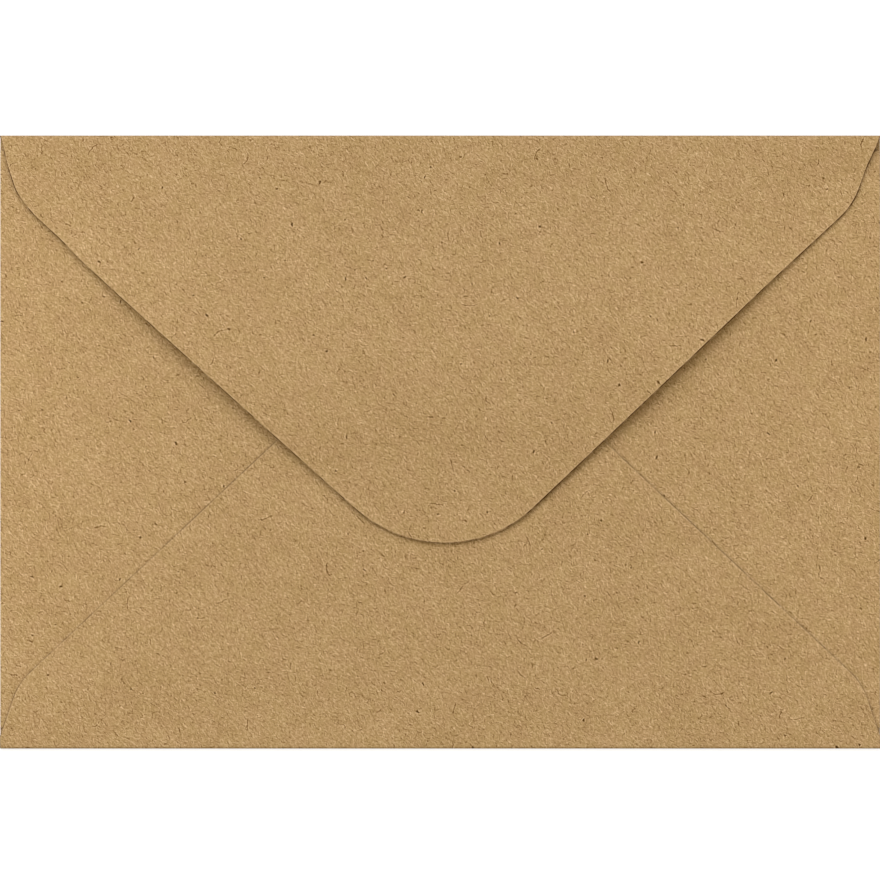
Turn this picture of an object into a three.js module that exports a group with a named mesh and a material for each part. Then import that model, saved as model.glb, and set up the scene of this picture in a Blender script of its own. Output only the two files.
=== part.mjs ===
// A kraft paper envelope, closed, lying on its address side with its back up.
// Millimetres, +Z up. X runs along the width, and +Y points to the fold of the seal flap.
// The origin is the middle of the sheet's footprint, on the surface that it lies on.
import * as THREE from 'three';

// Driving dimensions

// The folded sheet
const ENVELOPE_WIDTH = 162;
const ENVELOPE_HEIGHT = 112.8;
const PAPER_THICKNESS = 0.16;

// Clear heights between the layers, and the films of adhesive
const POCKET_GAP = 0.3;
const SEAM_GLUE_THICKNESS = 0.06;
const FLAP_REST_GAP = 0.3;
const GUM_THICKNESS = 0.05;

// Seal flap, measured from the top fold and from the envelope's side edges
const SEAL_SHOULDER_DEPTH = 12.8;
const SEAL_SHOULDER_INSET = 4.35;
const SEAL_SHOULDER_RADIUS = 14;
const SEAL_POINT_DEPTH = 83.8;
const SEAL_TIP_RADIUS = 24.3;

// Bottom flap, measured from the bottom fold and from the envelope's side edges
const BOTTOM_CORNER_RISE = 2.4;
const BOTTOM_SHOULDER_DEPTH = 12.1;
const BOTTOM_SHOULDER_INSET = 3.3;
const BOTTOM_SHOULDER_RADIUS = 12;
const BOTTOM_POINT_DEPTH = 85;
const BOTTOM_TIP_RADIUS = 20;

// Side flaps: their ends along the fold, the lean of those ends, and how far they reach
// under the bottom flap and under the seal flap
const SIDE_TOP_DROP = 2.6;
const SIDE_BOTTOM_RISE = 3.8;
const SIDE_END_LEAN = THREE.MathUtils.degToRad(18.5);
const SIDE_SEAM_LAP = 12;
const SIDE_SEAL_LAP = 12;
const SIDE_SHOULDER_RADIUS = 9;
const SIDE_TIP_RADIUS = 15;

// Adhesive: the bare margin beside each strip, its width, and its bare ends
const SEAM_GLUE_MARGIN = 1.5;
const SEAM_GLUE_END_MARGIN = 3;
const SEAM_GLUE_CORNER_RADIUS = 3;
const GUM_MARGIN = 2;
const GUM_WIDTH = 12;
const GUM_END_MARGIN = 6;
const GUM_CORNER_RADIUS = 3;

// Each fold stops this far short of the corner of the sheet, and its lips are the strips of flat
// paper beside its half round that belong to the fold
const FOLD_END_CLEARANCE = 0.1;
const FOLD_LIP = 0.1;

// Straight steps in a quarter turn of an outline's corner, and in a fold's half round
const CORNER_SEGMENTS = 16;
const FOLD_SEGMENTS = 16;

// Places worked out from them

const HALF_WIDTH = ENVELOPE_WIDTH / 2;
const HALF_HEIGHT = ENVELOPE_HEIGHT / 2;

// Heights of the layers, from the table up
const SIDE_FLAP_BASE = PAPER_THICKNESS + POCKET_GAP;
const SEAM_GLUE_BASE = SIDE_FLAP_BASE + PAPER_THICKNESS;
const BOTTOM_FLAP_BASE = SEAM_GLUE_BASE + SEAM_GLUE_THICKNESS;
const GUM_BASE = BOTTOM_FLAP_BASE + PAPER_THICKNESS + FLAP_REST_GAP;
const SEAL_FLAP_BASE = GUM_BASE + GUM_THICKNESS;

// Outer radius of each fold: half of the stack that it goes round
const SIDE_FOLD_RADIUS = (SIDE_FLAP_BASE + PAPER_THICKNESS) / 2;
const BOTTOM_FOLD_RADIUS = (BOTTOM_FLAP_BASE + PAPER_THICKNESS) / 2;
const TOP_FOLD_RADIUS = (SEAL_FLAP_BASE + PAPER_THICKNESS) / 2;

// Where each fold's half round starts, which for the top fold is the seal flap's hinge line
const SIDE_FOLD_X = HALF_WIDTH - SIDE_FOLD_RADIUS;
const BOTTOM_FOLD_Y = -HALF_HEIGHT + BOTTOM_FOLD_RADIUS;
const TOP_FOLD_Y = HALF_HEIGHT - TOP_FOLD_RADIUS;

// Where the panels end, at the lips of the folds
const SIDE_PANEL_X = SIDE_FOLD_X - FOLD_LIP;
const BOTTOM_PANEL_Y = BOTTOM_FOLD_Y + FOLD_LIP;
const TOP_PANEL_Y = TOP_FOLD_Y - FOLD_LIP;

// Ends of the side folds, which are also the root corners of the side flaps
const SIDE_ROOT_TOP = HALF_HEIGHT - SIDE_TOP_DROP;
const SIDE_ROOT_BOTTOM = -HALF_HEIGHT + SIDE_BOTTOM_RISE;

// Corners of the sheet and of its two V-shaped flaps on the right, before they are rounded
const SHEET_CORNER = new THREE.Vector2(HALF_WIDTH, HALF_HEIGHT);
const SEAL_SHOULDER = new THREE.Vector2(
  HALF_WIDTH - SEAL_SHOULDER_INSET, HALF_HEIGHT - SEAL_SHOULDER_DEPTH,
);
const SEAL_POINT = new THREE.Vector2(0, HALF_HEIGHT - SEAL_POINT_DEPTH);
const BOTTOM_SHOULDER = new THREE.Vector2(
  HALF_WIDTH - BOTTOM_SHOULDER_INSET, -HALF_HEIGHT + BOTTOM_SHOULDER_DEPTH,
);
const BOTTOM_POINT = new THREE.Vector2(0, -HALF_HEIGHT + BOTTOM_POINT_DEPTH);

// Lines and corners

// A straight line from one point towards another
function lineThrough(from, to) {
  return { start: from.clone(), direction: to.clone().sub(from).normalize() };
}

// The same line moved sideways, to the left of its direction
function movedLeft(line, distance) {
  const left = new THREE.Vector2(-line.direction.y, line.direction.x);
  return {
    start: line.start.clone().addScaledVector(left, distance),
    direction: line.direction.clone(),
  };
}

function pointAlong(line, distance) {
  return line.start.clone().addScaledVector(line.direction, distance);
}

// Where two lines cross
function crossing(first, second) {
  const between = second.start.clone().sub(first.start);
  const turn = first.direction.cross(second.direction);
  return pointAlong(first, between.cross(second.direction) / turn);
}

// Length of the straight edge that a rounded corner takes away on each side
function roundingLength(before, corner, after, radius) {
  const inward = before.clone().sub(corner);
  const outward = after.clone().sub(corner);
  const angle = Math.acos(inward.dot(outward) / (inward.length() * outward.length()));
  return radius / Math.tan(angle / 2);
}

function mirroredX(point) {
  return new THREE.Vector2(-point.x, point.y);
}

// A closed outline whose corners are [point, radius]; a radius of 0 leaves the corner sharp
function roundedOutline(corners) {
  const shape = new THREE.Shape();
  corners.forEach(([corner, radius], index) => {
    const [before] = corners[(index + corners.length - 1) % corners.length];
    const [after] = corners[(index + 1) % corners.length];
    const points = radius > 0 ? cornerArc(before, corner, after, radius) : [corner];
    points.forEach((point, step) => {
      if (index === 0 && step === 0) shape.moveTo(point.x, point.y);
      else shape.lineTo(point.x, point.y);
    });
  });
  return shape;
}

// Points of the arc that rounds one corner
function cornerArc(before, corner, after, radius) {
  const cut = roundingLength(before, corner, after, radius);
  const start = pointAlong(lineThrough(corner, before), cut);
  const end = pointAlong(lineThrough(corner, after), cut);
  const middle = start.clone().add(end).multiplyScalar(0.5);
  const toMiddle = lineThrough(corner, middle);
  const centre = pointAlong(toMiddle, Math.hypot(cut, radius));
  const firstAngle = start.clone().sub(centre).angle();
  let turn = end.clone().sub(centre).angle() - firstAngle;
  if (turn > Math.PI) turn -= 2 * Math.PI;
  if (turn < -Math.PI) turn += 2 * Math.PI;
  const steps = Math.max(2, Math.ceil((Math.abs(turn) / (Math.PI / 2)) * CORNER_SEGMENTS));
  return Array.from({ length: steps + 1 }, (_, step) => {
    const angle = firstAngle + (turn * step) / steps;
    return new THREE.Vector2(
      centre.x + radius * Math.cos(angle), centre.y + radius * Math.sin(angle),
    );
  });
}

// Materials

const KRAFT = { color: 0xb49365, roughness: 0.9, metalness: 0 };
const SEAM_GLUE = { color: 0xe4dfd0, roughness: 0.5, metalness: 0 };
const GUM = { color: 0xbda271, roughness: 0.35, metalness: 0 };

const envelope = new THREE.Group();
envelope.name = 'kraft_envelope';

function addPiece(name, geometry, finish) {
  const mesh = new THREE.Mesh(geometry, new THREE.MeshStandardMaterial(finish));
  mesh.name = name;
  envelope.add(mesh);
  return mesh;
}

// A flat layer of one outline, standing on the height base
function addLayer(name, outline, thickness, base, finish) {
  const geometry = new THREE.ExtrudeGeometry(outline, { depth: thickness, bevelEnabled: false });
  addPiece(name, geometry, finish).position.z = base;
}

// Panels

function addFrontPanel() {
  const outline = roundedOutline([
    [new THREE.Vector2(-SIDE_PANEL_X, BOTTOM_PANEL_Y), 0],
    [new THREE.Vector2(SIDE_PANEL_X, BOTTOM_PANEL_Y), 0],
    [new THREE.Vector2(SIDE_PANEL_X, TOP_PANEL_Y), 0],
    [new THREE.Vector2(-SIDE_PANEL_X, TOP_PANEL_Y), 0],
  ]);
  addLayer('front_panel', outline, PAPER_THICKNESS, 0, KRAFT);
}

// The steep edges run from the ends of the top fold to the shoulders, and the flap's root is
// where they pass the lip of the fold
function addSealFlap() {
  const rootLine = lineThrough(
    new THREE.Vector2(0, TOP_PANEL_Y), new THREE.Vector2(HALF_WIDTH, TOP_PANEL_Y),
  );
  const root = crossing(rootLine, lineThrough(SHEET_CORNER, SEAL_SHOULDER));
  const outline = roundedOutline([
    [root, 0],
    [mirroredX(root), 0],
    [mirroredX(SEAL_SHOULDER), SEAL_SHOULDER_RADIUS],
    [SEAL_POINT, SEAL_TIP_RADIUS],
    [SEAL_SHOULDER, SEAL_SHOULDER_RADIUS],
  ]);
  addLayer('seal_flap', outline, PAPER_THICKNESS, SEAL_FLAP_BASE, KRAFT);
}

function addBottomFlap() {
  const root = new THREE.Vector2(HALF_WIDTH, BOTTOM_PANEL_Y);
  const corner = new THREE.Vector2(HALF_WIDTH, -HALF_HEIGHT + BOTTOM_CORNER_RISE);
  const outline = roundedOutline([
    [mirroredX(root), 0],
    [root, 0],
    [corner, 0],
    [BOTTOM_SHOULDER, BOTTOM_SHOULDER_RADIUS],
    [BOTTOM_POINT, BOTTOM_TIP_RADIUS],
    [mirroredX(BOTTOM_SHOULDER), BOTTOM_SHOULDER_RADIUS],
    [mirroredX(corner), 0],
  ]);
  addLayer('bottom_flap', outline, PAPER_THICKNESS, BOTTOM_FLAP_BASE, KRAFT);
}

// The corners of the right side flap. Its lower edge runs beside the bottom flap's edge and its
// upper edge beside the seal flap's, each moved under that flap by the lap.
function sideFlapCorners() {
  const lowerRoot = new THREE.Vector2(SIDE_PANEL_X, SIDE_ROOT_BOTTOM);
  const upperRoot = new THREE.Vector2(SIDE_PANEL_X, SIDE_ROOT_TOP);
  const reach = new THREE.Vector2(-Math.cos(SIDE_END_LEAN), Math.sin(SIDE_END_LEAN));
  const lowerEnd = lineThrough(lowerRoot, lowerRoot.clone().add(reach));
  reach.y = -reach.y;
  const upperEnd = lineThrough(upperRoot, upperRoot.clone().add(reach));
  const lowerEdge = movedLeft(lineThrough(BOTTOM_SHOULDER, BOTTOM_POINT), SIDE_SEAM_LAP);
  const upperEdge = movedLeft(lineThrough(SEAL_SHOULDER, SEAL_POINT), -SIDE_SEAL_LAP);
  return {
    lowerRoot,
    upperRoot,
    lowerShoulder: crossing(lowerEnd, lowerEdge),
    upperShoulder: crossing(upperEnd, upperEdge),
    tip: crossing(lowerEdge, upperEdge),
  };
}

function addSideFlap(name, side) {
  const corners = sideFlapCorners();
  const outline = roundedOutline([
    [corners.lowerRoot, 0],
    [corners.upperRoot, 0],
    [corners.upperShoulder, SIDE_SHOULDER_RADIUS],
    [corners.tip, SIDE_TIP_RADIUS],
    [corners.lowerShoulder, SIDE_SHOULDER_RADIUS],
  ].map(([corner, radius]) => [side > 0 ? corner : mirroredX(corner), radius]));
  addLayer(name, outline, PAPER_THICKNESS, SIDE_FLAP_BASE, KRAFT);
}

// Folds

// The section of a fold, open to the left: a half round of paper between two flat lips, with
// its underside at the height 0
function foldSection(radius) {
  const inner = radius - PAPER_THICKNESS;
  const section = new THREE.Shape();
  section.moveTo(-FOLD_LIP, 0);
  section.lineTo(0, 0);
  section.absarc(0, radius, radius, -Math.PI / 2, Math.PI / 2, false);
  section.lineTo(-FOLD_LIP, 2 * radius);
  section.lineTo(-FOLD_LIP, radius + inner);
  section.lineTo(0, radius + inner);
  section.absarc(0, radius, inner, Math.PI / 2, -Math.PI / 2, true);
  section.lineTo(-FOLD_LIP, PAPER_THICKNESS);
  return section;
}

// A fold of one length, stood up with its open side towards the sheet. Turn sets the side of
// the envelope that it lies on.
function addFold(name, radius, length, place, turn) {
  const geometry = new THREE.ExtrudeGeometry(
    foldSection(radius), { depth: length, bevelEnabled: false, curveSegments: FOLD_SEGMENTS },
  );
  geometry.translate(0, 0, -length / 2);
  geometry.rotateX(Math.PI / 2);
  const fold = addPiece(name, geometry, KRAFT);
  fold.position.copy(place);
  fold.rotation.z = turn;
}

function addSideFold(name, side) {
  const top = SIDE_ROOT_TOP - FOLD_END_CLEARANCE;
  const bottom = SIDE_ROOT_BOTTOM + FOLD_END_CLEARANCE;
  const place = new THREE.Vector3(side * SIDE_FOLD_X, (top + bottom) / 2, 0);
  addFold(name, SIDE_FOLD_RADIUS, top - bottom, place, side > 0 ? 0 : Math.PI);
}

function addLongFold(name, radius, foldY) {
  const length = ENVELOPE_WIDTH - 2 * FOLD_END_CLEARANCE;
  const place = new THREE.Vector3(0, foldY, 0);
  addFold(name, radius, length, place, foldY > 0 ? Math.PI / 2 : -Math.PI / 2);
}

// Adhesive

// The strip lies in the lap of the bottom flap on a side flap, between the rounded shoulder and
// the rounded tip of the side flap
function addSeamGlue(name, side) {
  const seam = lineThrough(BOTTOM_SHOULDER, BOTTOM_POINT);
  const outerEdge = movedLeft(seam, SEAM_GLUE_MARGIN);
  const innerEdge = movedLeft(seam, SIDE_SEAM_LAP - SEAM_GLUE_MARGIN);
  const { lowerRoot, lowerShoulder, tip, upperShoulder } = sideFlapCorners();
  const alongSeam = (point) => point.clone().sub(seam.start).dot(seam.direction);
  const from = alongSeam(lowerShoulder) + SEAM_GLUE_END_MARGIN
    + roundingLength(lowerRoot, lowerShoulder, tip, SIDE_SHOULDER_RADIUS);
  const to = alongSeam(tip) - SEAM_GLUE_END_MARGIN
    - roundingLength(lowerShoulder, tip, upperShoulder, SIDE_TIP_RADIUS);
  const outline = roundedOutline([
    pointAlong(outerEdge, from),
    pointAlong(outerEdge, to),
    pointAlong(innerEdge, to),
    pointAlong(innerEdge, from),
  ].map((corner) => [side > 0 ? corner : mirroredX(corner), SEAM_GLUE_CORNER_RADIUS]));
  addLayer(name, outline, SEAM_GLUE_THICKNESS, SEAM_GLUE_BASE, SEAM_GLUE);
}

// A V-shaped band along the seal flap's diagonals and round its tip
function addFlapGum() {
  const edge = lineThrough(SEAL_SHOULDER, SEAL_POINT);
  const outerEdge = movedLeft(edge, -GUM_MARGIN);
  const innerEdge = movedLeft(edge, -GUM_MARGIN - GUM_WIDTH);
  const middle = lineThrough(SEAL_POINT, new THREE.Vector2(0, HALF_HEIGHT));
  const from = GUM_END_MARGIN
    + roundingLength(SHEET_CORNER, SEAL_SHOULDER, SEAL_POINT, SEAL_SHOULDER_RADIUS);
  const outerStart = pointAlong(outerEdge, from);
  const innerStart = pointAlong(innerEdge, from);
  const outerTipRadius = SEAL_TIP_RADIUS - GUM_MARGIN;
  const outline = roundedOutline([
    [outerStart, GUM_CORNER_RADIUS],
    [crossing(outerEdge, middle), outerTipRadius],
    [mirroredX(outerStart), GUM_CORNER_RADIUS],
    [mirroredX(innerStart), GUM_CORNER_RADIUS],
    [crossing(innerEdge, middle), outerTipRadius - GUM_WIDTH],
    [innerStart, GUM_CORNER_RADIUS],
  ]);
  addLayer('flap_gum', outline, GUM_THICKNESS, GUM_BASE, GUM);
}

addFrontPanel();
addSideFlap('left_side_flap', -1);
addSideFlap('right_side_flap', 1);
addBottomFlap();
addSealFlap();
addSideFold('left_fold', -1);
addSideFold('right_fold', 1);
addLongFold('bottom_fold', BOTTOM_FOLD_RADIUS, BOTTOM_FOLD_Y);
addLongFold('top_fold', TOP_FOLD_RADIUS, TOP_FOLD_Y);
addSeamGlue('left_seam_glue', -1);
addSeamGlue('right_seam_glue', 1);
addFlapGum();

export default envelope;
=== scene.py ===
import math

import bmesh
import bpy
from mathutils import Matrix, Vector


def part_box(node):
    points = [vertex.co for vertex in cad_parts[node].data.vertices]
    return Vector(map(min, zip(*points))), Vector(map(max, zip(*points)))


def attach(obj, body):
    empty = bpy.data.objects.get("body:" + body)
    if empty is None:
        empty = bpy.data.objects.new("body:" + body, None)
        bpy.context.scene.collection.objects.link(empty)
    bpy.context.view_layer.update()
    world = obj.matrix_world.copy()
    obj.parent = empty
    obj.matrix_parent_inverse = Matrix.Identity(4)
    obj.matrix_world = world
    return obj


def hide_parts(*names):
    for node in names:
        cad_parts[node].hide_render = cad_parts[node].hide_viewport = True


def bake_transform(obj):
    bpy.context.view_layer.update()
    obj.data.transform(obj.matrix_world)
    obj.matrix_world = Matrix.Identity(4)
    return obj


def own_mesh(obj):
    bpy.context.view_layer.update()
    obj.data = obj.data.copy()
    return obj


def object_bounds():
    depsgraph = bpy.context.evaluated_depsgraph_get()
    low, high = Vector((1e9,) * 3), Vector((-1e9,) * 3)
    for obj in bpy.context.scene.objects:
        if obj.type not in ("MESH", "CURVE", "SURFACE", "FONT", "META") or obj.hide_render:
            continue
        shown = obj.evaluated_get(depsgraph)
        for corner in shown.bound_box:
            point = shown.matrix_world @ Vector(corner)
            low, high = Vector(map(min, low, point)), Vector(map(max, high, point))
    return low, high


# A closed kraft envelope seen from straight above. Metres, +Z up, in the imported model's frame:
# X along the width, +Y towards the fold of the seal flap.

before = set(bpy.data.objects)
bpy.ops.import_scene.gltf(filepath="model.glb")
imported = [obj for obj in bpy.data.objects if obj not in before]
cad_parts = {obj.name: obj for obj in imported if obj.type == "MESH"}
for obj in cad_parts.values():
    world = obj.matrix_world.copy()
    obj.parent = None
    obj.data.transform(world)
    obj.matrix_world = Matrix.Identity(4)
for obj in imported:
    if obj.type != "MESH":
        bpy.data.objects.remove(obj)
cad_low, cad_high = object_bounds()

MM = 0.001

# How the photograph is framed: the pixel that the sheet's centre falls on, and how many pixels
# wide the sheet is
PICTURE_PIXELS = 880
SHEET_CENTRE_PIXEL = (440.2, 442.1)
SHEET_WIDTH_PIXELS = 880.6
CAMERA_LENS_MM = 120.0
CAMERA_SENSOR_MM = 36.0

# Paper, read from the frame
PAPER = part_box("front_panel")[1].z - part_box("front_panel")[0].z
SHEET_WIDTH = cad_high.x - cad_low.x
SHEET_HEIGHT = cad_high.y - cad_low.y

# Grid of the paper pieces, the strips round a fold, and how near two points are one. Outlines
# are read to this many decimals of a metre.
GRID_STEP = 1.5 * MM
FOLD_STEPS = 12
OUTLINE_DECIMALS = 7
CUT_TOLERANCE = 1e-8
MIRROR_TOLERANCE = 1e-6
MERGE_DISTANCE = 0.02 * MM

# A cut edge has a thin dark line, partly where the knife pressed the paper and partly painted
# contact shade, then a pale rim, partly loose fibre and partly painted highlight of the lit edge,
# and beside them a faint painted highlight where the edge curls. A fold has painted shade.
SEAM_LINE_AND_SHADE_WIDTH = 0.17 * MM
SEAM_LINE_AND_SHADE_DARKNESS = 0.54
FLAP_LINE_AND_SHADE_WIDTH = 0.17 * MM
CUT_RIM_AND_HIGHLIGHT_WIDTH = 0.36 * MM
CUT_RIM_AND_HIGHLIGHT_PALENESS = 0.33
EDGE_HIGHLIGHT_WIDTH = 2.4 * MM
EDGE_HIGHLIGHT_PALENESS = 0.02
CREASE_SHADE = 0.22

# How dark the flap's line and its painted contact shade are. The painted shade is darkest on the
# right edge and least at the tip, as the light falls from the upper left. Above 1 it also fills the
# gaps of the ragged line.
FLAP_LINE_AND_SHADE_LEFT = 0.88
FLAP_LINE_AND_SHADE_TIP = 0.72
FLAP_LINE_AND_SHADE_RIGHT = 1.4
FLAP_TIP_START = 8 * MM
FLAP_TIP_BLEND = 12 * MM

# The line and the rim are ragged: along an edge they fade to this share and back. The scale is
# for each millimetre, and the bounds are where the noise starts and ends the change.
RAGGED_SCALE = 0.35
RAGGED_DETAIL = 4.0
RAGGED_BOUNDS = (0.38, 0.62)
RAGGED_LEAST = 0.45

# How the layers bow. The back swells a little between its folds, and the seal flap arches
# between its fold and its tip, so that its two straight edges stand clear of the back. The lean
# puts the top of the arch nearer to the tip, and the power flattens its two ends.
BACK_SWELL = 0.45 * MM
BACK_SWELL_REACH = 45 * MM
FLAP_ARCH = 0.95 * MM
FLAP_ARCH_LEAN = 1.35
FLAP_ARCH_POWER = 3

# How far from its fold the flap takes up the swell of the back, and its own sag
FLAP_SETTLE_REACH = 25 * MM
FLAP_LIP_REACH = 8 * MM

# Towards its two ends the flap settles on the side flaps, on the right more than on the left
FLAP_SAG_LEFT = 0.26 * MM
FLAP_SAG_RIGHT = 0.44 * MM
FLAP_SAG_START = 50 * MM
FLAP_SAG_REACH = 20 * MM

# The flap was creased a little askew, so it leans to the left above this depth and to the right
# below it, by this much for each unit of depth, but never further to the left than this
FLAP_SKEW = 0.030
FLAP_SKEW_DEPTH = 45.7 * MM
FLAP_SKEW_LEFTMOST = 0.55 * MM
FLAP_SKEW_REACH = 6 * MM

# Its left corner is cut rounder than the right one. About this far below the fold, and from this
# far out of the middle, the edge lies a little further in.
LEFT_CORNER_CUT = 0.42 * MM
LEFT_CORNER_DEPTH = 15.5 * MM
LEFT_CORNER_REACH = 6.5 * MM
LEFT_CORNER_BLEND = 3.5 * MM
LEFT_CORNER_START = 35 * MM
LEFT_CORNER_WIDTH = 20 * MM

# Width of the gum band on the seal flap, and the rounding of its ends
GUM_WIDTH = 12 * MM
GUM_END_RADIUS = 3 * MM

# One unit of the sheet's UV map is this long: the whole unfolded blank fits in one square
BLANK_SPAN = 320 * MM

# A wall whose outward direction has at least this share along an axis faces that way. One with
# at least the lesser share downwards is part of the V.
SQUARE_ON = 0.99
DOWNWARDS = 0.5


def srgb(red, green, blue):
    """The linear colour of three values from 0 to 255, as a picture holds them."""
    def linear(value):
        share = value / 255
        return share / 12.92 if share <= 0.04045 else ((share + 0.055) / 1.055) ** 2.4
    return (linear(red), linear(green), linear(blue), 1.0)


# Colours
KRAFT = srgb(181, 148, 101)
ROSY_KRAFT = srgb(182, 148, 102)
GREEN_KRAFT = srgb(181, 149, 100)
DARK_FIBRE = srgb(112, 77, 32)
PALE_FIBRE = srgb(226, 194, 150)
SPECK = srgb(58, 35, 10)
# Colour of the pale rim at cut edges, partly loose fibre and partly painted highlight
CUT_RIM_AND_HIGHLIGHT = srgb(206, 174, 130)
# Colour of the pressed cut line and of the painted contact shade at the cut edges
CUT_LINE_AND_SHADE = srgb(68, 36, 0)
DRIED_GUM = srgb(176, 138, 84)
SEAM_GLUE = srgb(226, 216, 190)
FLOOR_GREY = (0.42, 0.42, 0.42, 1.0)
FLOOR_GLOW = 0.76
FLOOR_ROUGHNESS = 0.9

# Finishes. A film has a slow ripple (scale for each millimetre, detail, roughness), between
# whose bounds it goes from smooth to dull. Cover is how much of the paper the gum hides, and
# thinness is how much of it shows through the glue at most.
PAPER_ROUGHNESS = 0.9
PAPER_GLOSS = 0.15
PAPER_RELIEF = 0.35
RELIEF_DEPTH = 0.02 * MM
RIPPLE_BOUNDS = (0.3, 0.7)
GUM_RIPPLE = (0.9, 3.0, 0.6)
GUM_COVER = 0.35
GUM_ROUGHNESS = (0.30, 0.48)
GUM_GLOSS = 0.3
GUM_RELIEF = 0.25
GLUE_RIPPLE = (0.7, 3.0, 0.6)
GLUE_ROUGHNESS = (0.4, 0.6)
GLUE_THINNESS = 0.35

# The room and the near lamps are a little warm, and the wide lamp beyond the top of the sheet is
# a little cool, so that the whole is neutral and the shadows are warm
ROOM_LIGHT = (1.0, 0.84, 0.48, 1.0)
ROOM_STRENGTH = 0.25
COOL_LIGHT = (0.754, 0.829, 1.0)
WARM_LIGHT = (1.0, 0.95, 0.86)

# Each lamp's place, size across, power and colour
LAMPS = {
    "top_lamp": ((-0.50, 1.95, 1.55), 3.2, 79.5, COOL_LIGHT),
    "near_top_lamp": ((0.0, 0.18, 0.11), 0.12, 0.035, WARM_LIGHT),
    "near_left_lamp": ((-0.18, 0.02, 0.11), 0.12, 0.111, WARM_LIGHT),
    "near_right_lamp": ((0.18, 0.02, 0.11), 0.12, 0.084, WARM_LIGHT),
    "near_bottom_lamp": ((0.0, -0.22, 0.14), 0.16, 0.10, WARM_LIGHT),
}

# The floor's half width, and the gap that keeps it off the underside
FLOOR_REACH = 2.0
FLOOR_GAP = 0.02 * MM


# Heights and folds, read from the frame

def layer_height(node):
    """The height of the middle of a flat layer."""
    low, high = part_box(node)
    return (low.z + high.z) / 2


class Fold:
    """A half-round fold on one side of the sheet: axis 0 or 1, side -1 or 1."""

    def __init__(self, node, axis, side):
        low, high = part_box(node)
        outer_radius = (high.z - low.z) / 2
        self.axis = axis
        self.side = side
        self.outer_edge = max(abs(low[axis]), abs(high[axis]))
        self.inner_edge = min(abs(low[axis]), abs(high[axis]))
        self.line = self.outer_edge - outer_radius
        self.lip = self.line - self.inner_edge
        self.middle_height = (low.z + high.z) / 2
        self.radius = outer_radius - PAPER / 2
        self.length = math.pi * self.radius

    def beyond(self, point):
        """How far past the fold's start a point of the flattened paper lies, along the paper."""
        return self.side * point[self.axis] - self.line

    def wrap(self, point):
        """Bends the flattened paper round the fold: the flap is the upper layer."""
        past = self.beyond(point)
        turn = min(max(past / self.radius, 0), math.pi)
        straight = min(past, 0) - max(past - self.length, 0)
        point[self.axis] = self.side * (self.line + straight + self.radius * math.sin(turn))
        point.z = self.middle_height + self.radius * math.cos(turn)

    def on_blank(self, point):
        """Where a point of the flattened flap lies on the unfolded blank."""
        end = self.line + self.length + self.lip
        spot = Vector((point.x, point.y))
        spot[self.axis] = self.side * (self.inner_edge + end) - point[self.axis]
        return spot


LEFT_FOLD = Fold("left_fold", 0, -1)
RIGHT_FOLD = Fold("right_fold", 0, 1)
BOTTOM_FOLD = Fold("bottom_fold", 1, -1)
TOP_FOLD = Fold("top_fold", 1, 1)
FLAP_DEPTH = TOP_FOLD.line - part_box("seal_flap")[0].y


def smooth_step(value):
    share = min(max(value, 0), 1)
    return share * share * (3 - 2 * share)


def back_swell(x, y):
    """How far the back stands above its flat layer at a place. It is held at three folds."""
    from_side = (SHEET_WIDTH / 2 - abs(x)) / BACK_SWELL_REACH
    from_bottom = (y + SHEET_HEIGHT / 2) / BACK_SWELL_REACH
    return BACK_SWELL * smooth_step(from_side) * smooth_step(from_bottom)


def flap_rise(x, y):
    """How far the seal flap stands above its flat layer: it follows the back, and arches."""
    depth = TOP_FOLD.line - y
    share = min(max(depth / FLAP_DEPTH, 0), 1)
    arch = FLAP_ARCH * math.sin(math.pi * share ** FLAP_ARCH_LEAN) ** FLAP_ARCH_POWER
    sag = FLAP_SAG_LEFT if x < 0 else FLAP_SAG_RIGHT
    sag *= smooth_step((abs(x) - FLAP_SAG_START) / FLAP_SAG_REACH)
    sag *= smooth_step(depth / FLAP_LIP_REACH)
    return back_swell(x, y) * smooth_step(depth / FLAP_SETTLE_REACH) + arch - sag


def askew(point):
    """Where a point of the seal flap lies sideways, after the skew of the crease."""
    depth = TOP_FOLD.line - point.y
    lean = max(FLAP_SKEW * (depth - FLAP_SKEW_DEPTH), -FLAP_SKEW_LEFTMOST)
    corner = smooth_step((LEFT_CORNER_REACH - abs(depth - LEFT_CORNER_DEPTH)) / LEFT_CORNER_BLEND)
    corner *= smooth_step((-point.x - LEFT_CORNER_START) / LEFT_CORNER_WIDTH)
    return point.x + lean * smooth_step(depth / FLAP_SKEW_REACH) + LEFT_CORNER_CUT * corner


def bow_flap(mesh, height):
    """Lifts a flat sheet to the seal flap's height there, arches it and sets it askew."""
    for vertex in mesh.verts:
        vertex.co.z = height + flap_rise(vertex.co.x, vertex.co.y)
        vertex.co.x = askew(vertex.co)


# Outlines, as walls that each hold a point and the direction that faces outwards

def walls_of(node):
    """The walls round the outline of a flat node. Every outline read this way is convex."""
    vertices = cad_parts[node].data.vertices
    digits = OUTLINE_DECIMALS
    points = {(round(v.co.x, digits), round(v.co.y, digits)) for v in vertices}
    centre = sum((Vector(p) for p in points), Vector((0, 0))) / len(points)
    corners = sorted(points, key=lambda p: math.atan2(p[1] - centre.y, p[0] - centre.x))
    walls = []
    for start, end in zip(corners, corners[1:] + corners[:1]):
        along = (Vector(end) - Vector(start)).normalized()
        walls.append((Vector((*start, 0)), Vector((along.y, -along.x, 0))))
    return walls


def cut_walls(node, fold):
    """The walls of a flap that the knife made: all but the one where its fold starts."""
    return [wall for wall in walls_of(node) if wall[1][fold.axis] * fold.side < SQUARE_ON]


def moved_in(walls, distance):
    return [(point - outward * distance, outward) for point, outward in walls]


def inside(point, walls):
    return all((point - wall_point).dot(outward) < 0 for wall_point, outward in walls)


def distance_to(point, walls):
    return min((wall_point - point).dot(outward) for wall_point, outward in walls)


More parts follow.
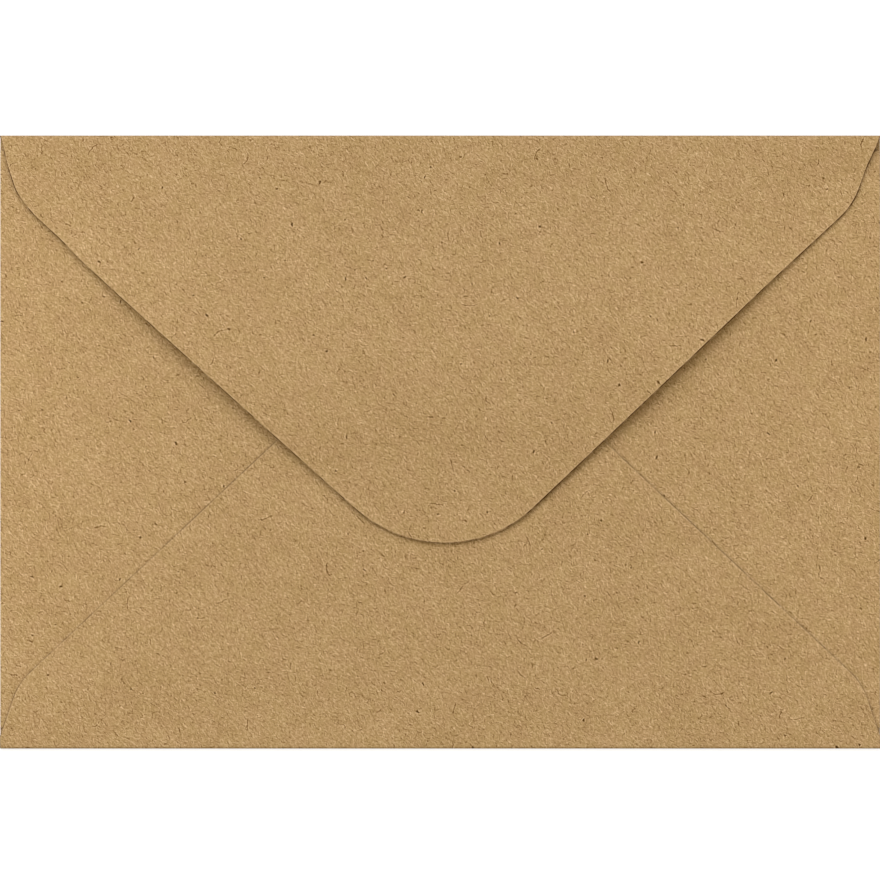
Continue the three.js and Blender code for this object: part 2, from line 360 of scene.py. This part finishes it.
def wall_height(wall, x):
    """The y at which a wall passes x."""
    point, outward = wall
    return point.y - (x - point.x) * outward.x / outward.y


# Sheets of paper and film

def all_of(mesh):
    return mesh.verts[:] + mesh.edges[:] + mesh.faces[:]


def cut(mesh, wall, trim):
    """Cuts every face along a wall, and with trim removes what lies outside it."""
    bmesh.ops.bisect_plane(
        mesh, geom=all_of(mesh), dist=CUT_TOLERANCE,
        plane_co=wall[0], plane_no=wall[1], clear_outer=trim,
    )


def flat_sheet(low, high, walls):
    """A flat grid of faces over a rectangle, trimmed to its walls."""
    mesh = bmesh.new()
    size = Vector(high) - Vector(low)
    centre = (Vector(high) + Vector(low)) / 2
    place = Matrix.Translation((centre.x, centre.y, 0))
    bmesh.ops.create_grid(
        mesh,
        x_segments=max(1, round(size.x / GRID_STEP)),
        y_segments=max(1, round(size.y / GRID_STEP)),
        size=0.5,
        matrix=place @ Matrix.Diagonal((size.x, size.y, 1, 1)),
    )
    for wall in walls:
        cut(mesh, wall, trim=True)
    return mesh


def seam_line_and_shade_darkness(place):
    """How dark a seam's line and its painted contact shade are: the same all along."""
    return SEAM_LINE_AND_SHADE_DARKNESS


def flap_line_and_shade_darkness(place):
    """How dark the flap's line and its painted contact shade are at a place: the tip differs from
    the two edges.
    """
    edge = FLAP_LINE_AND_SHADE_RIGHT if place.x > 0 else FLAP_LINE_AND_SHADE_LEFT
    share = smooth_step((abs(place.x) - FLAP_TIP_START) / FLAP_TIP_BLEND)
    return FLAP_LINE_AND_SHADE_TIP + (edge - FLAP_LINE_AND_SHADE_TIP) * share


def mark_cut_edges(mesh, walls, line_and_shade_width, darkness_at):
    """Sets apart the line with its painted contact shade and the rim with its painted highlight
    along the cut edges, and says how near an edge a vertex is, for the painted highlight beside it.
    """
    line_walls = moved_in(walls, line_and_shade_width)
    rim_walls = moved_in(walls, CUT_RIM_AND_HIGHLIGHT_WIDTH)
    for wall in line_walls + rim_walls:
        cut(mesh, wall, trim=False)
    # The line layer holds the pressed line and painted contact shade, and the rim layer holds the
    # pale rim and painted highlight
    line = mesh.faces.layers.float.new("cut_line_and_shade")
    rim = mesh.faces.layers.float.new("cut_rim_and_highlight")
    for face in mesh.faces:
        centre = face.calc_center_median()
        on_line = not inside(centre, line_walls)
        face[line] = darkness_at(centre) if on_line else 0.0
        face[rim] = 0.0 if on_line or inside(centre, rim_walls) else CUT_RIM_AND_HIGHLIGHT_PALENESS
    # A painted highlight that fades out from the cut edges
    highlight = mesh.verts.layers.float.new("edge_highlight")
    for vertex in mesh.verts:
        vertex[highlight] = 1 - smooth_step(distance_to(vertex.co, walls) / EDGE_HIGHLIGHT_WIDTH)


def map_to_blank(mesh, on_blank):
    """Gives every face its place on the unfolded blank, so that the fibres run on round a fold."""
    layer = mesh.loops.layers.uv.new("blank")
    for face in mesh.faces:
        for loop in face.loops:
            loop[layer].uv = on_blank(loop.vert.co) / BLANK_SPAN + Vector((0.5, 0.5))


def in_scene(name, data):
    """A new object in the scene."""
    made = bpy.data.objects.new(name, data)
    bpy.context.scene.collection.objects.link(made)
    return made


def finished(name, mesh, material, thickness):
    """Makes the bmesh a piece of sheet material with this thickness, centred on its faces."""
    bmesh.ops.remove_doubles(mesh, verts=mesh.verts[:], dist=MERGE_DISTANCE)
    bmesh.ops.dissolve_degenerate(mesh, edges=mesh.edges[:], dist=MERGE_DISTANCE)
    bmesh.ops.recalc_face_normals(mesh, faces=mesh.faces[:])
    for face in mesh.faces:
        face.smooth = True
    for edge in mesh.edges:
        edge.smooth = not edge.is_boundary
    data = bpy.data.meshes.new(name)
    mesh.to_mesh(data)
    mesh.free()
    data.materials.append(material)
    piece = in_scene(name, data)
    shell = piece.modifiers.new("thickness", "SOLIDIFY")
    shell.thickness = thickness
    shell.offset = 0
    return piece


# Shader nodes

def add_node(tree, kind, inputs=None, **settings):
    """A new node. An input is a number, a vector, a colour or another node's output."""
    made = tree.nodes.new(kind)
    for name, value in settings.items():
        setattr(made, name, value)
    for key, value in (inputs or {}).items():
        if isinstance(value, bpy.types.NodeSocket):
            tree.links.new(value, made.inputs[key])
        else:
            made.inputs[key].default_value = value
    return made


def calculate(tree, operation, first, second=0.0, third=0.0):
    values = {0: first, 1: second}
    if operation == "MULTIPLY_ADD":
        values[2] = third
    return add_node(tree, "ShaderNodeMath", values, operation=operation).outputs[0]


def product(tree, first, *others):
    for other in others:
        first = calculate(tree, "MULTIPLY", first, other)
    return first


def ramp_between(tree, value, start, end, low, high):
    """A smooth change from low at start to high at end."""
    spans = {"Value": value, "From Min": start, "From Max": end, "To Min": low, "To Max": high}
    return add_node(
        tree, "ShaderNodeMapRange", spans, interpolation_type="SMOOTHSTEP", clamp=True,
    ).outputs["Result"]


def straight_ramp(tree, value, start, end):
    """An even change from 0 at start to 1 at end."""
    spans = {"Value": value, "From Min": start, "From Max": end}
    return add_node(tree, "ShaderNodeMapRange", spans, clamp=True).outputs["Result"]


def mix_colours(tree, share, first, second):
    made = add_node(tree, "ShaderNodeMix", {0: share, 6: first, 7: second}, data_type="RGBA")
    return made.outputs[2]


def noise(tree, position, scale, detail=2.0, roughness=0.5, output=0):
    values = {"Vector": position, "Scale": scale, "Detail": detail, "Roughness": roughness}
    made = add_node(tree, "ShaderNodeTexNoise", values, noise_dimensions="2D")
    return made.outputs[output]


def new_group(name, inputs, outputs):
    """An empty shader group. An input is given as name to value, and is a place if that is None.
    An output is given as name to kind."""
    tree = bpy.data.node_groups.new(name, "ShaderNodeTree")
    for label, value in inputs.items():
        kind = "NodeSocketVector" if value is None else "NodeSocketFloat"
        socket = tree.interface.new_socket(label, in_out="INPUT", socket_type=kind)
        if value is not None:
            socket.default_value = value
    for label, kind in outputs.items():
        tree.interface.new_socket(label, in_out="OUTPUT", socket_type=kind)
    return tree, tree.nodes.new("NodeGroupInput").outputs, tree.nodes.new("NodeGroupOutput").inputs


# Fibres. A single one is between these shares of its kind's length, starts to taper at this
# share of its half length, and has a fainter opposite-toned halo this many times its half width,
# a painted shade and highlight of the fibre's relief.
FIBRE_LENGTHS = (0.5, 1.3)
FIBRE_TAPER_START = 0.6
RELIEF_SHADE_REACH = 2.2

# A cell's three chances are spread again by these factors, for its fibre's shade and presence
SHADE_SHUFFLE = 9.0
PRESENCE_SHUFFLE = 7.0

# Kinds of fibre in the pulp, in millimetres. Share is how many cells hold one. Tone is how much
# darker (below 0) or paler than the paper they are, and a mixed kind has some of each.
FIBRE_SIZES = ("Spacing", "Length", "Width", "Curl", "Spread", "Share")
PULP_FIBRES = [
    # spacing, length, width, curl, spread, share, tone, mixed
    (0.55, 0.9, 0.31, 1.6, 0.55, 1.0, 0.36, True),
    (0.66, 1.2, 0.31, 1.4, 0.55, 1.0, 0.36, True),
    (0.83, 1.5, 0.34, 1.0, 0.45, 1.0, 0.34, True),
    (1.12, 2.1, 0.34, 0.7, 0.45, 0.9, 0.32, True),
    (1.8, 1.0, 0.42, 1.8, 0.9, 0.45, -0.38, False),
    (7.5, 2.6, 0.40, 0.7, 1.0, 0.20, -0.62, False),
    (3.4, 0.60, 0.36, 0.0, 1.0, 0.20, 0.50, False),
    (4.8, 0.60, 0.58, 0.0, 1.0, 0.15, -1.20, False),
]

# The direction that most fibres favour, and how far they wander from their smooth curves, in
# millimetres, with the scale and detail of that wandering
FIBRE_LEAN = math.radians(45)
FIBRE_WANDER = 0.55
WANDER_SCALE = 1.3
WANDER_DETAIL = 2.0

# Each kind is shifted by this many millimetres from the one before, so that their cells differ
KIND_SHIFT = (13.7, 29.3)

# The pulp's own noise: the name of its strength, its scale for each millimetre and its detail
PULP_NOISE = (("Grain", 2.1, 1.0), ("Blotches", 0.45, 2.0), ("Clouds", 0.1, 3.0))
PULP_NOISE_ROUGHNESS = 0.6
PULP_NOISE_TURN = 0.6

# Hue changes slowly over the paper. Tone runs from a speck through dark fibre and the paper's
# own colour to pale fibre.
HUE_SCALE = 0.25
HUE_BOUNDS = (0.3, 0.7)
TONE_SPECK = -0.6
TONE_DARK_FIBRE = 0.0
TONE_PAPER = 0.5
TONE_PALE_FIBRE = 1.0


def fibre_scatter_group():
    """Single fibres strewn over a surface, one to a cell, each with its own turn, curve and
    length. Sizes are in millimetres, and Lean is the direction that they favour, in radians."""
    tree, given, result = new_group(
        "Scattered fibres",
        {"Position": None, "Spacing": 1.0, "Length": 1.0, "Width": 0.15, "Curl": 0.3,
         "Lean": 0.0, "Spread": 1.0, "Share": 1.0, "Relief shade": 0.35},
        {"Mask": "NodeSocketFloat", "Shade": "NodeSocketFloat"},
    )

    # A cell for each fibre, with three chances from 0 to 1, and the place in it
    density = calculate(tree, "DIVIDE", 1.0, given["Spacing"])
    cells = add_node(
        tree, "ShaderNodeTexVoronoi", {"Vector": given["Position"], "Scale": density},
        voronoi_dimensions="2D", feature="F1",
    )
    chance = add_node(tree, "ShaderNodeSeparateColor", {0: cells.outputs["Color"]}).outputs
    from_centre = add_node(
        tree, "ShaderNodeVectorMath", {0: given["Position"], 1: cells.outputs["Position"]},
        operation="SUBTRACT",
    ).outputs[0]

    # Distances along and across the turned and curved fibre
    turn = product(tree, calculate(tree, "SUBTRACT", chance[0], 0.5), math.pi, given["Spread"])
    turn = calculate(tree, "ADD", turn, given["Lean"])
    turned = add_node(
        tree, "ShaderNodeVectorRotate",
        {"Vector": from_centre, "Angle": calculate(tree, "MULTIPLY", turn, -1.0)},
        rotation_type="Z_AXIS",
    ).outputs[0]
    along, across, _ = add_node(tree, "ShaderNodeSeparateXYZ", {0: turned}).outputs
    curve = product(tree, calculate(tree, "SUBTRACT", chance[1], 0.5), given["Curl"])
    curve = calculate(tree, "MULTIPLY", curve, calculate(tree, "MULTIPLY", along, along))
    across = calculate(tree, "ABSOLUTE", calculate(tree, "ADD", across, curve))
    along = calculate(tree, "ABSOLUTE", along)

    # The fibre's core less its halo of painted relief shade, tapered towards its ends
    half_width = calculate(tree, "MULTIPLY", given["Width"], 0.5)
    length = ramp_between(tree, chance[2], 0, 1, *FIBRE_LENGTHS)
    half_length = product(tree, given["Length"], 0.5, length)
    core = ramp_between(tree, across, 0.0, half_width, 1.0, 0.0)
    reach = calculate(tree, "MULTIPLY", half_width, RELIEF_SHADE_REACH)
    relief_shade = ramp_between(tree, across, 0.0, reach, given["Relief shade"], 0.0)
    mask = calculate(tree, "SUBTRACT", core, relief_shade)
    taper = calculate(tree, "MULTIPLY", half_length, FIBRE_TAPER_START)
    ends = ramp_between(tree, along, taper, half_length, 1.0, 0.0)

    # Some cells stay empty
    shade = calculate(tree, "FRACT", calculate(tree, "MULTIPLY", chance[1], SHADE_SHUFFLE))
    present = calculate(tree, "FRACT", calculate(tree, "MULTIPLY", chance[2], PRESENCE_SHUFFLE))
    present = calculate(tree, "LESS_THAN", present, given["Share"])
    tree.links.new(product(tree, mask, ends, present), result["Mask"])
    tree.links.new(shade, result["Shade"])
    return tree


def kraft_group(fibres):
    """The colour and relief of kraft pulp: fine grain, cloudy patches, and fibres of every kind."""
    tree, given, result = new_group(
        "Kraft pulp",
        {"Position": None, "Grain": 0.42, "Blotches": 0.12, "Clouds": 0.10, "Contrast": 1.21},
        {"Color": "NodeSocketColor", "Tone": "NodeSocketFloat"},
    )
    turned = add_node(
        tree, "ShaderNodeMapping",
        {"Vector": given["Position"], "Rotation": (0, 0, PULP_NOISE_TURN)},
    ).outputs[0]
    tone = 0.0
    for label, scale, detail in PULP_NOISE:
        change = noise(tree, turned, scale, detail, PULP_NOISE_ROUGHNESS)
        change = calculate(tree, "SUBTRACT", change, 0.5)
        tone = calculate(tree, "MULTIPLY_ADD", change, given[label], tone)

    wander = noise(tree, given["Position"], WANDER_SCALE, WANDER_DETAIL, output="Color")
    wander = add_node(
        tree, "ShaderNodeVectorMath", {0: wander, 1: (0.5, 0.5, 0.5)}, operation="SUBTRACT",
    ).outputs[0]
    crumpled = add_node(
        tree, "ShaderNodeVectorMath",
        {0: wander, 1: (FIBRE_WANDER, FIBRE_WANDER, 0), 2: given["Position"]},
        operation="MULTIPLY_ADD",
    ).outputs[0]
    for index, (*sizes, darker_or_paler, mixed) in enumerate(PULP_FIBRES):
        shift = (KIND_SHIFT[0] * index, KIND_SHIFT[1] * index, 0)
        place = add_node(tree, "ShaderNodeMapping", {"Vector": crumpled, "Location": shift})
        layer = add_node(tree, "ShaderNodeGroup", {}, node_tree=fibres)
        tree.links.new(place.outputs[0], layer.inputs["Position"])
        for label, size in zip(FIBRE_SIZES, sizes):
            layer.inputs[label].default_value = size
        layer.inputs["Lean"].default_value = FIBRE_LEAN
        strength = layer.outputs["Mask"]
        if mixed:
            way = calculate(tree, "MULTIPLY_ADD", layer.outputs["Shade"], 2.0, -1.0)
            strength = calculate(tree, "MULTIPLY", strength, way)
        tone = calculate(tree, "MULTIPLY_ADD", strength, darker_or_paler, tone)

    tone = calculate(tree, "MULTIPLY_ADD", tone, given["Contrast"], TONE_PAPER)
    hue = ramp_between(tree, noise(tree, given["Position"], HUE_SCALE), *HUE_BOUNDS, 0.0, 1.0)
    paper = mix_colours(tree, hue, ROSY_KRAFT, GREEN_KRAFT)
    to_fibre = straight_ramp(tree, tone, TONE_SPECK, TONE_DARK_FIBRE)
    to_paper = straight_ramp(tree, tone, TONE_DARK_FIBRE, TONE_PAPER)
    to_pale = straight_ramp(tree, tone, TONE_PAPER, TONE_PALE_FIBRE)
    color = mix_colours(tree, to_fibre, SPECK, DARK_FIBRE)
    color = mix_colours(tree, to_paper, color, paper)
    color = mix_colours(tree, to_pale, color, PALE_FIBRE)
    tree.links.new(color, result["Color"])
    tree.links.new(tone, result["Tone"])
    return tree


def new_material(name):
    material = bpy.data.materials.new(name)
    material.use_nodes = True
    tree = material.node_tree
    shader = next(n for n in tree.nodes if n.type == "BSDF_PRINCIPLED")
    return material, tree, shader


def blank_position(tree):
    """The place on the unfolded blank, in millimetres."""
    place = add_node(tree, "ShaderNodeUVMap", uv_map="blank").outputs[0]
    return add_node(
        tree, "ShaderNodeVectorMath", {0: place, "Scale": BLANK_SPAN / MM}, operation="SCALE",
    ).outputs[0]


def pulp_layer(tree, pulp):
    """The outputs of the kraft pulp at the place on the blank."""
    paper = add_node(tree, "ShaderNodeGroup", {}, node_tree=pulp)
    tree.links.new(blank_position(tree), paper.inputs["Position"])
    return paper.outputs


def attribute(tree, name):
    return add_node(tree, "ShaderNodeAttribute", attribute_name=name).outputs["Fac"]


def add_relief(tree, shader, height, strength):
    bump = {"Height": height, "Strength": strength, "Distance": RELIEF_DEPTH}
    made = add_node(tree, "ShaderNodeBump", bump)
    tree.links.new(made.outputs[0], shader.inputs["Normal"])


def kraft_material(pulp):
    """Matt brown paper. Its cut edges have a dark line, partly pressed by the knife and partly
    painted contact shade, and a pale rim, partly loose fibre and partly painted highlight. The
    paper beside them has a faint painted highlight, and the middle of the flap's fold has painted
    shade."""
    material, tree, shader = new_material("kraft_paper")
    paper = pulp_layer(tree, pulp)
    ragged = noise(tree, blank_position(tree), RAGGED_SCALE, RAGGED_DETAIL)
    ragged = ramp_between(tree, ragged, *RAGGED_BOUNDS, RAGGED_LEAST, 1.0)
    # Painted highlight on the paper beside the cut edges
    highlight = calculate(tree, "MULTIPLY", attribute(tree, "edge_highlight"), EDGE_HIGHLIGHT_PALENESS)
    # Pale rim of the cut edges, partly loose fibre and partly painted highlight
    rim = calculate(tree, "MULTIPLY", attribute(tree, "cut_rim_and_highlight"), ragged)
    # Pressed line and painted contact shade of the cut edges
    line = calculate(tree, "MULTIPLY", attribute(tree, "cut_line_and_shade"), ragged)
    color = mix_colours(tree, highlight, paper["Color"], PALE_FIBRE)
    color = mix_colours(tree, rim, color, CUT_RIM_AND_HIGHLIGHT)
    # Painted shade in the middle of the flap's fold
    color = mix_colours(tree, attribute(tree, "crease"), color, DARK_FIBRE)
    color = mix_colours(tree, line, color, CUT_LINE_AND_SHADE)
    tree.links.new(color, shader.inputs["Base Color"])
    add_relief(tree, shader, paper["Tone"], PAPER_RELIEF)
    shader.inputs["Roughness"].default_value = PAPER_ROUGHNESS
    shader.inputs["Specular IOR Level"].default_value = PAPER_GLOSS
    return material


def gum_material(pulp):
    """A thin glassy film of dried gum, through which the paper's fibres show."""
    material, tree, shader = new_material("flap_gum")
    ripple = noise(tree, blank_position(tree), *GUM_RIPPLE)
    tint = mix_colours(tree, GUM_COVER, pulp_layer(tree, pulp)["Color"], DRIED_GUM)
    tree.links.new(tint, shader.inputs["Base Color"])
    add_relief(tree, shader, ripple, GUM_RELIEF)
    roughness = ramp_between(tree, ripple, *RIPPLE_BOUNDS, *GUM_ROUGHNESS)
    tree.links.new(roughness, shader.inputs["Roughness"])
    shader.inputs["Specular IOR Level"].default_value = GUM_GLOSS
    return material


def seam_glue_material():
    """A thin dried film of pale paper glue, slightly uneven."""
    material, tree, shader = new_material("seam_glue")
    ripple = noise(tree, blank_position(tree), *GLUE_RIPPLE)
    thinness = ramp_between(tree, ripple, *RIPPLE_BOUNDS, 0.0, GLUE_THINNESS)
    color = mix_colours(tree, thinness, SEAM_GLUE, KRAFT)
    tree.links.new(color, shader.inputs["Base Color"])
    roughness = ramp_between(tree, ripple, *RIPPLE_BOUNDS, *GLUE_ROUGHNESS)
    tree.links.new(roughness, shader.inputs["Roughness"])
    return material


def floor_material():
    """Plain white: it glows a little for the rays that show it, and keeps a soft shadow."""
    material, tree, shader = new_material("white_table")
    shader.inputs["Base Color"].default_value = FLOOR_GREY
    shader.inputs["Roughness"].default_value = FLOOR_ROUGHNESS
    shader.inputs["Specular IOR Level"].default_value = 0.0
    path = add_node(tree, "ShaderNodeLightPath").outputs
    seen = calculate(tree, "MAXIMUM", path["Is Camera Ray"], path["Is Glossy Ray"])
    seen = calculate(tree, "MAXIMUM", seen, path["Is Transmission Ray"])
    glow = calculate(tree, "MULTIPLY", seen, FLOOR_GLOW)
    shader.inputs["Emission Color"].default_value = (1, 1, 1, 1)
    tree.links.new(glow, shader.inputs["Emission Strength"])
    return material


# Paper pieces

def fold_cuts(mesh, fold):
    """Cuts the flattened paper into narrow strips where it goes round a fold."""
    across = Vector((0, 0, 0))
    across[fold.axis] = fold.side
    for step in range(FOLD_STEPS + 1):
        place = across * (fold.line + fold.length * step / FOLD_STEPS)
        cut(mesh, (place, across), trim=False)


def side_or_bottom_flap(node, fold, material, name):
    """A flap with its fold: cut out flat, then bent round the fold and swelled like the back."""
    walls = cut_walls(node, fold)
    low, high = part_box(node)
    paper_end = fold.side * (fold.line + fold.length + fold.lip)
    if fold.side > 0:
        high[fold.axis] = paper_end
    else:
        low[fold.axis] = paper_end
    mesh = flat_sheet(low.xy, high.xy, walls)
    mark_cut_edges(mesh, walls, SEAM_LINE_AND_SHADE_WIDTH, seam_line_and_shade_darkness)
    fold_cuts(mesh, fold)
    map_to_blank(mesh, fold.on_blank)
    for vertex in mesh.verts:
        on_panel = fold.beyond(vertex.co) < 0
        fold.wrap(vertex.co)
        if on_panel:
            vertex.co.z += back_swell(vertex.co.x, vertex.co.y)
    return finished(name, mesh, material, PAPER)


def front_panel(material):
    """The address side: a rectangle as wide as the sheet, narrower where the side folds are."""
    width = SHEET_WIDTH / 2
    mesh = flat_sheet((-width, -BOTTOM_FOLD.inner_edge), (width, TOP_FOLD.inner_edge), [])
    across, upwards = Vector((1, 0, 0)), Vector((0, 1, 0))
    fold_low, fold_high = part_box("left_fold")
    edge = LEFT_FOLD.inner_edge
    cuts = [(across * edge, across), (across * -edge, across)]
    cuts += [(upwards * fold_low.y, upwards), (upwards * fold_high.y, upwards)]
    for wall in cuts:
        cut(mesh, wall, trim=False)
    beside_folds = []
    for face in mesh.faces:
        centre = face.calc_center_median()
        if abs(centre.x) > edge and fold_low.y < centre.y < fold_high.y:
            beside_folds.append(face)
    bmesh.ops.delete(mesh, geom=beside_folds, context="FACES")
    map_to_blank(mesh, lambda point: point.xy)
    bmesh.ops.translate(mesh, verts=mesh.verts[:], vec=(0, 0, layer_height("front_panel")))
    return finished("front_panel_paper", mesh, material, PAPER)


def seal_flap(material):
    """The V-shaped flap from the lip of its fold to its tip, arched over the back."""
    walls = cut_walls("seal_flap", TOP_FOLD)
    low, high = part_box("seal_flap")
    mesh = flat_sheet(low.xy, high.xy, walls)
    mark_cut_edges(mesh, walls, FLAP_LINE_AND_SHADE_WIDTH, flap_line_and_shade_darkness)
    map_to_blank(mesh, TOP_FOLD.on_blank)
    bow_flap(mesh, layer_height("seal_flap"))
    return finished("seal_flap_paper", mesh, material, PAPER)


def top_fold(material):
    """The strip of paper round the flap's fold, tapered where the flap's edges start."""
    walls = cut_walls("seal_flap", TOP_FOLD)
    width = SHEET_WIDTH / 2
    start, end = TOP_FOLD.inner_edge, TOP_FOLD.line + TOP_FOLD.length + TOP_FOLD.lip
    mesh = flat_sheet((-width, start), (width, end), walls)
    mark_cut_edges(mesh, walls, FLAP_LINE_AND_SHADE_WIDTH, flap_line_and_shade_darkness)
    fold_cuts(mesh, TOP_FOLD)
    map_to_blank(mesh, TOP_FOLD.on_blank)
    # The crease attribute is painted shade, darkest in the middle of the fold
    crease = mesh.verts.layers.float.new("crease")
    for vertex in mesh.verts:
        share = TOP_FOLD.beyond(vertex.co) / TOP_FOLD.length
        vertex[crease] = CREASE_SHADE * smooth_step(2 - abs(4 * share - 2))
        TOP_FOLD.wrap(vertex.co)
    return finished("top_fold_paper", mesh, material, PAPER)


# Adhesive

def gum_end(slope, x):
    """The walls of the gum band's right end: one square to the slope, and one that takes the
    sharp corner off where the band's outer edge meets it."""
    corner = Vector((x, wall_height(slope, x), 0))
    along = Vector((-slope[1].y, slope[1].x, 0))
    middle = (slope[1] + along).normalized()
    rounding = GUM_END_RADIUS * (math.sqrt(2) - 1)
    return [(corner, along), (corner - middle * rounding, middle)]


def flap_gum(material):
    """A band along the flap's V edge, on its underside. Half of it is cut out, then mirrored."""
    low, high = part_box("flap_gum")
    margin = low.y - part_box("seal_flap")[0].y
    edges = moved_in(cut_walls("seal_flap", TOP_FOLD), margin)
    outer = [wall for wall in edges if wall[1].x >= 0]
    inner = moved_in(outer, GUM_WIDTH)
    slope = max((wall for wall in outer if wall[1].y < -DOWNWARDS), key=lambda wall: wall[1].x)
    mesh = flat_sheet((0, low.y), (high.x, high.y), outer)
    for wall in gum_end(slope, high.x):
        cut(mesh, wall, trim=True)
    for wall in inner:
        cut(mesh, wall, trim=False)
    middle = [face for face in mesh.faces if inside(face.calc_center_median(), inner)]
    bmesh.ops.delete(mesh, geom=middle, context="FACES")
    bmesh.ops.mirror(mesh, geom=all_of(mesh), axis="X", merge_dist=MIRROR_TOLERANCE)
    map_to_blank(mesh, TOP_FOLD.on_blank)
    bow_flap(mesh, layer_height("flap_gum"))
    return finished("flap_gum_film", mesh, material, high.z - low.z)


def seam_glue(node, fold, material, name):
    """The film in a seam, between a side flap and the bottom flap."""
    low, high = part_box(node)
    mesh = flat_sheet(low.xy, high.xy, walls_of(node))
    map_to_blank(mesh, fold.on_blank)
    height = layer_height(node)
    for vertex in mesh.verts:
        vertex.co.z = height + back_swell(vertex.co.x, vertex.co.y)
    return finished(name, mesh, material, high.z - low.z)


# Camera, light and floor

def place_camera():
    """Looks straight down, with the seal flap's fold at the top of the picture."""
    data = bpy.data.cameras.new("camera")
    data.lens = CAMERA_LENS_MM
    data.sensor_width = CAMERA_SENSOR_MM
    camera = in_scene("camera", data)
    pixels_per_metre = SHEET_WIDTH_PIXELS / SHEET_WIDTH
    view_width = PICTURE_PIXELS / pixels_per_metre
    distance = view_width * CAMERA_LENS_MM / CAMERA_SENSOR_MM
    across = (PICTURE_PIXELS / 2 - SHEET_CENTRE_PIXEL[0]) / pixels_per_metre
    up = (SHEET_CENTRE_PIXEL[1] - PICTURE_PIXELS / 2) / pixels_per_metre
    camera.location = (across, up, (cad_low.z + cad_high.z) / 2 + distance)
    bpy.context.scene.camera = camera


def place_lamp(name, location, size, power, color):
    """A round soft lamp, aimed at the middle of the sheet."""
    data = bpy.data.lights.new(name, "AREA")
    data.shape = "DISK"
    data.color = color
    data.size = size
    data.energy = power
    lamp = in_scene(name, data)
    lamp.location = location
    lamp.rotation_euler = (-Vector(location)).to_track_quat("-Z", "Y").to_euler()


def light_scene():
    """A wide lamp beyond the top of the sheet, four weak ones near its sides, and the room."""
    world = bpy.data.worlds.new("world")
    world.use_nodes = True
    background = world.node_tree.nodes["Background"].inputs
    background["Color"].default_value = ROOM_LIGHT
    background["Strength"].default_value = ROOM_STRENGTH
    bpy.context.scene.world = world
    for name, settings in LAMPS.items():
        place_lamp(name, *settings)


def lay_floor():
    """A plain table just under the envelope."""
    mesh = bmesh.new()
    bmesh.ops.create_grid(mesh, x_segments=1, y_segments=1, size=FLOOR_REACH)
    bmesh.ops.translate(mesh, verts=mesh.verts[:], vec=(0, 0, cad_low.z - FLOOR_GAP))
    data = bpy.data.meshes.new("floor")
    mesh.to_mesh(data)
    mesh.free()
    data.materials.append(floor_material())
    floor = in_scene("floor", data)


def dress_envelope():
    """Makes every piece, hides the nodes that it takes the place of, and puts each piece but the
    top fold on its body.
    """
    pulp = kraft_group(fibre_scatter_group())
    kraft = kraft_material(pulp)
    gum = gum_material(pulp)
    glue = seam_glue_material()

    front = front_panel(kraft)
    left = side_or_bottom_flap("left_side_flap", LEFT_FOLD, kraft, "left_side_flap_paper")
    right = side_or_bottom_flap("right_side_flap", RIGHT_FOLD, kraft, "right_side_flap_paper")
    bottom = side_or_bottom_flap("bottom_flap", BOTTOM_FOLD, kraft, "bottom_flap_paper")
    left_glue = seam_glue("left_seam_glue", LEFT_FOLD, glue, "left_seam_glue_film")
    right_glue = seam_glue("right_seam_glue", RIGHT_FOLD, glue, "right_seam_glue_film")
    for piece, slot, nodes in (
        (front, "kraft_paper", ["front_panel"]),
        (left, "kraft_paper", ["left_side_flap", "left_fold"]),
        (right, "kraft_paper", ["right_side_flap", "right_fold"]),
        (bottom, "kraft_paper", ["bottom_flap", "bottom_fold"]),
        (left_glue, "seam_glue", ["left_seam_glue"]),
        (right_glue, "seam_glue", ["right_seam_glue"]),
    ):
        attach(piece, "pocket")
        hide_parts(*nodes)

    # The flap and its gum go on the flap's body, each with a mesh of its own
    flap = seal_flap(kraft)
    film = flap_gum(gum)
    for piece, slot, node in ((flap, "kraft_paper", "seal_flap"), (film, "flap_gum", "flap_gum")):
        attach(piece, "flap")
        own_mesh(piece)
        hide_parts(node)

    fold = top_fold(kraft)
    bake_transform(fold)
    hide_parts("top_fold")


bpy.context.scene.view_settings.view_transform = "Standard"
place_camera()
light_scene()
lay_floor()
dress_envelope()
